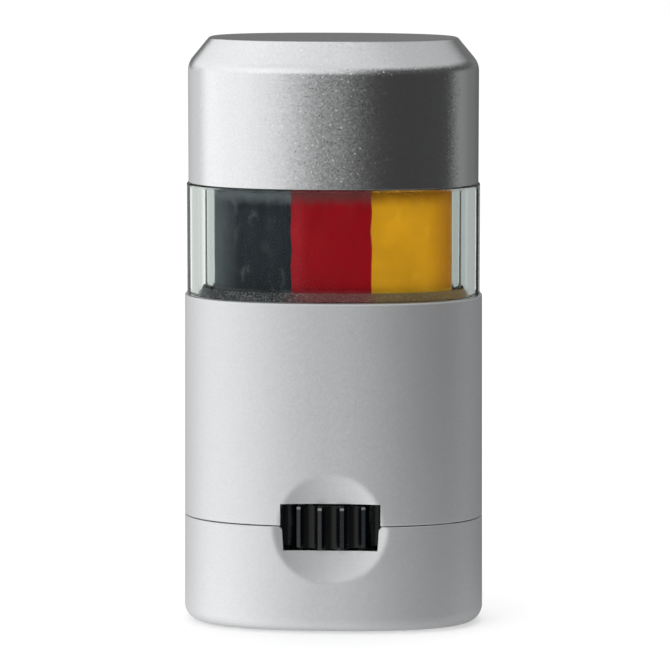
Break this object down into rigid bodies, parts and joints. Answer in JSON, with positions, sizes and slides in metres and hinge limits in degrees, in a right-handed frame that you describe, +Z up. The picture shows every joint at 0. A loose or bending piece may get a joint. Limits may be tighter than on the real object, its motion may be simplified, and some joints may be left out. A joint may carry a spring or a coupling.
{
  "type": "push-up paint stick",
  "caption": "Flat oval push-up stick: a ribbed wheel in a dished window turns a lead screw that raises blocks of soft colour out of a clear sleeve under a pull-off cap.",
  "frame": {"origin": "centre of the foot's underside, in the plane that the stick stands on", "axes": "+Z up along the stick, +X to the right across its width, the front that is seen faces -Y"},
  "size_m": [0.0362, 0.0186, 0.0709],
  "materials": {
    "silver_plastic": "moulded plastic with a satin silver metallic coat",
    "clear_plastic": "clear moulded plastic",
    "black_plastic": "black moulded plastic with a soft gloss",
    "white_plastic": "white moulded plastic",
    "black_paint": "soft cast paint, waxy",
    "red_paint": "soft cast paint, waxy",
    "yellow_paint": "soft cast paint, waxy"
  },
  "bodies": {
    "housing": {"base_shell": "silver_plastic", "body_shell": "silver_plastic", "clear_sleeve": "clear_plastic"},
    "cap": {"cap_shell": "silver_plastic"},
    "drive": {"thumb_wheel": "black_plastic", "lead_screw": "white_plastic"},
    "lift": {"paint_carrier": "white_plastic", "paint_black": "black_paint", "paint_red": "red_paint", "paint_yellow": "yellow_paint"}
  },
  "joints": [
    {"name": "wheel_spin", "type": "hinge", "parent": "housing", "child": "drive", "pos_m": [0, 0, 0.0129], "axis": [0, 0, -1], "range_deg": [0, 1800]},
    {"name": "paint_lift", "type": "slide", "parent": "housing", "child": "lift", "axis": [0, 0, 1], "range_m": [0, 0.015]},
    {"name": "cap_lift", "type": "slide", "parent": "housing", "child": "cap", "axis": [0, 0, 1], "range_m": [0, 0.03]}
  ],
  "couplings": [
    {"joint": "wheel_spin", "follows": "paint_lift", "rad_per_m": 2094.4}
  ]
}
